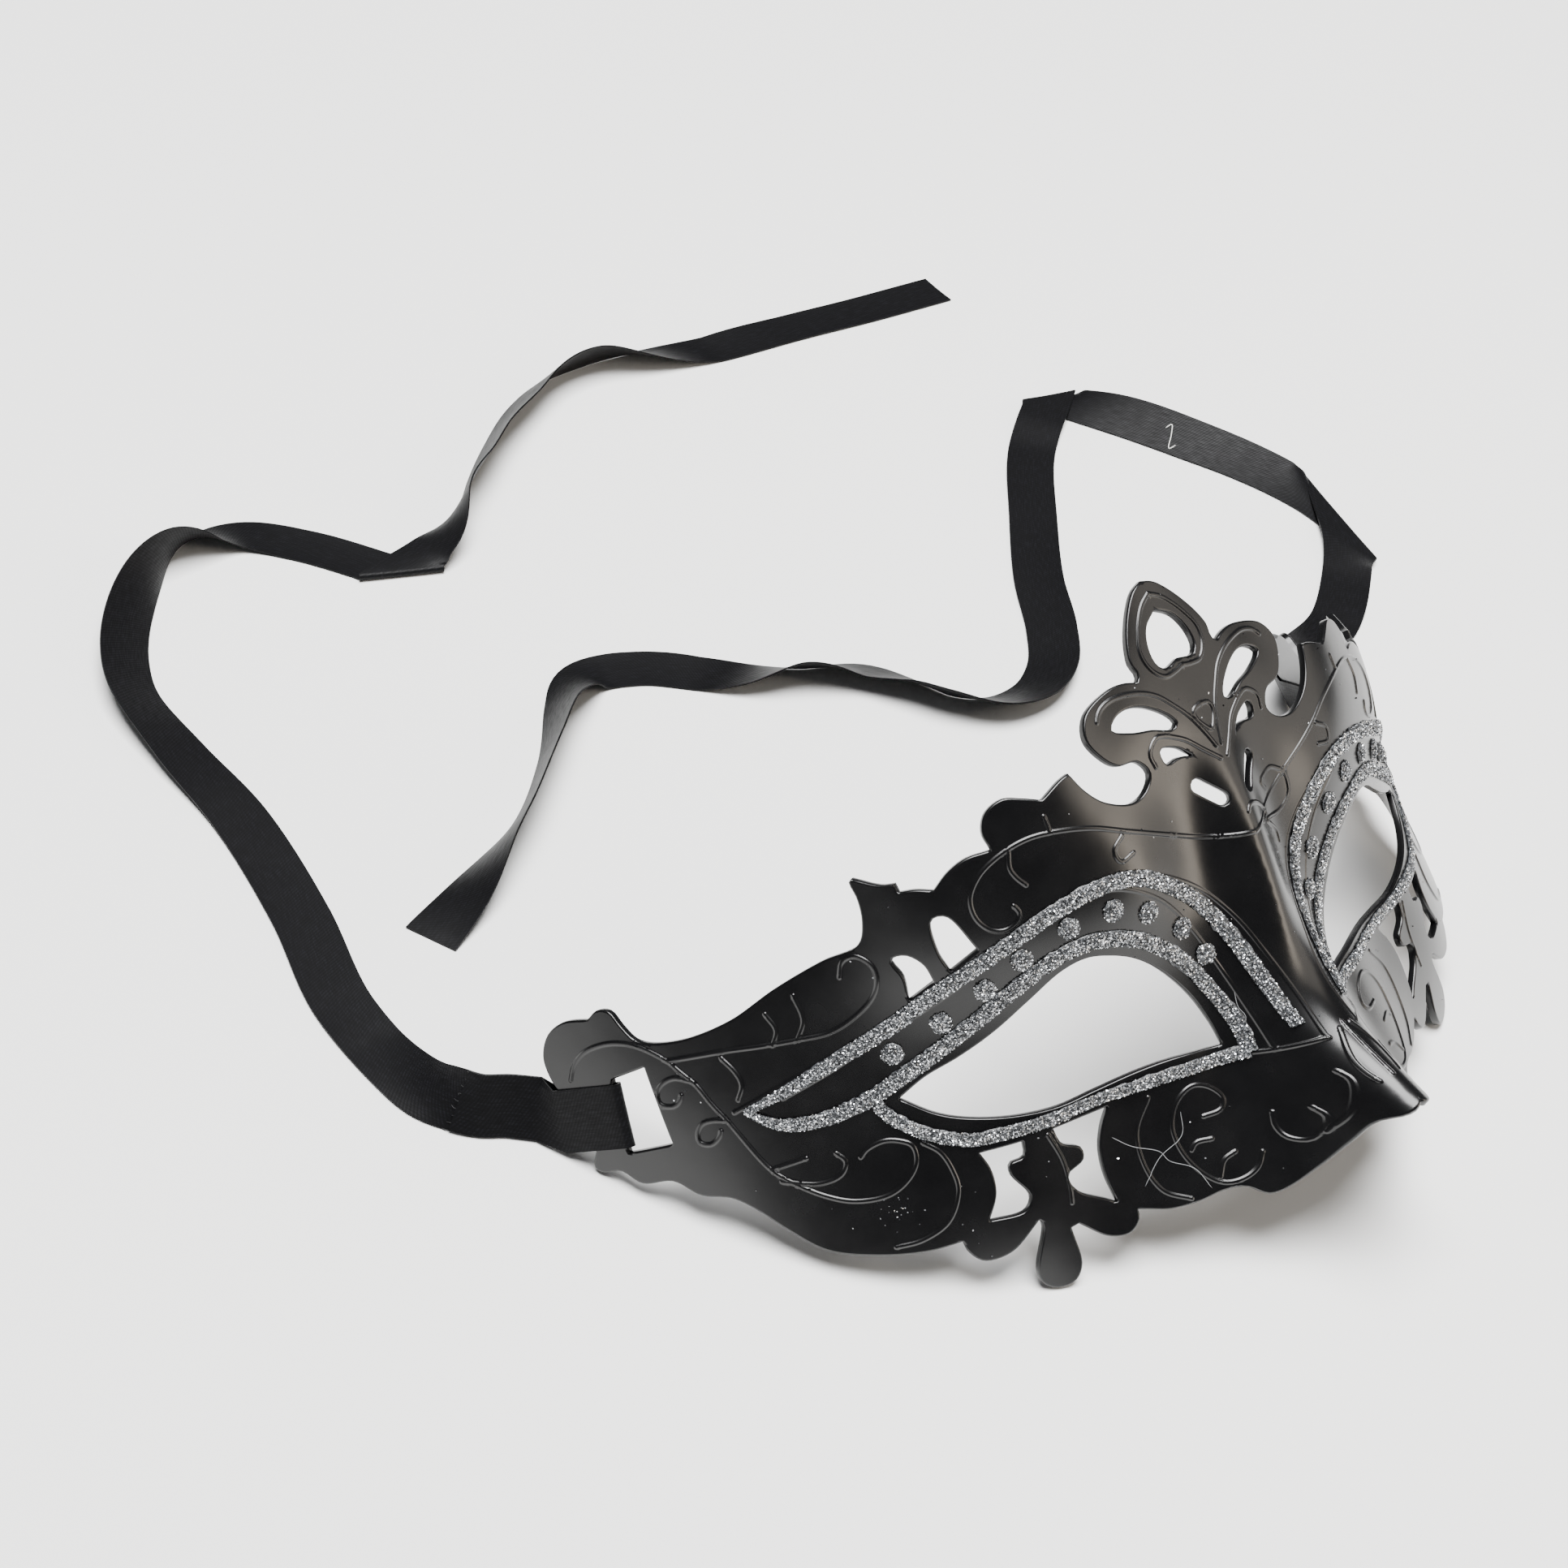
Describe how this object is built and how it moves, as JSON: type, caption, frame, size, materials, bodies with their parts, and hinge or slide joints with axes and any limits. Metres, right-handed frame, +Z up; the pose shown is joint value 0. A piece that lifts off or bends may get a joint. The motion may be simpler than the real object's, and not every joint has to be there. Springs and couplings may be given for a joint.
{
  "type": "half mask with ribbon ties",
  "caption": "Moulded plastic party half mask with pierced scrollwork, glitter trim round the eyes and a satin ribbon tie at each end, resting on a table.",
  "frame": {"origin": "on the table, under the middle of the mask without its ribbons", "axes": "+Z up from the table, +X towards the right wing as seen from in front, +Y from the face of the mask towards the head"},
  "size_m": [0.2601, 0.2642, 0.0847],
  "materials": {
    "black_plastic": "moulded, near-black, glossy",
    "silver_glitter": "glitter glue, silver-grey flakes in clear glue",
    "black_satin": "woven satin ribbon, soft sheen"
  },
  "bodies": {
    "root": {"mask_shell": "black_plastic", "glitter_trim_left": "silver_glitter", "glitter_trim_right": "silver_glitter", "glitter_dot_left_1": "silver_glitter", "glitter_dot_left_2": "silver_glitter", "glitter_dot_left_3": "silver_glitter", "glitter_dot_left_4": "silver_glitter", "glitter_dot_left_5": "silver_glitter", "glitter_dot_left_6": "silver_glitter", "glitter_dot_left_7": "silver_glitter", "glitter_dot_left_8": "silver_glitter", "glitter_dot_left_9": "silver_glitter", "glitter_dot_right_1": "silver_glitter", "glitter_dot_right_2": "silver_glitter", "glitter_dot_right_3": "silver_glitter", "glitter_dot_right_4": "silver_glitter", "glitter_dot_right_5": "silver_glitter", "glitter_dot_right_6": "silver_glitter", "glitter_dot_right_7": "silver_glitter", "glitter_dot_right_8": "silver_glitter", "glitter_dot_right_9": "silver_glitter", "ribbon_left": "black_satin", "ribbon_right": "black_satin"}
  },
  "joints": []
}
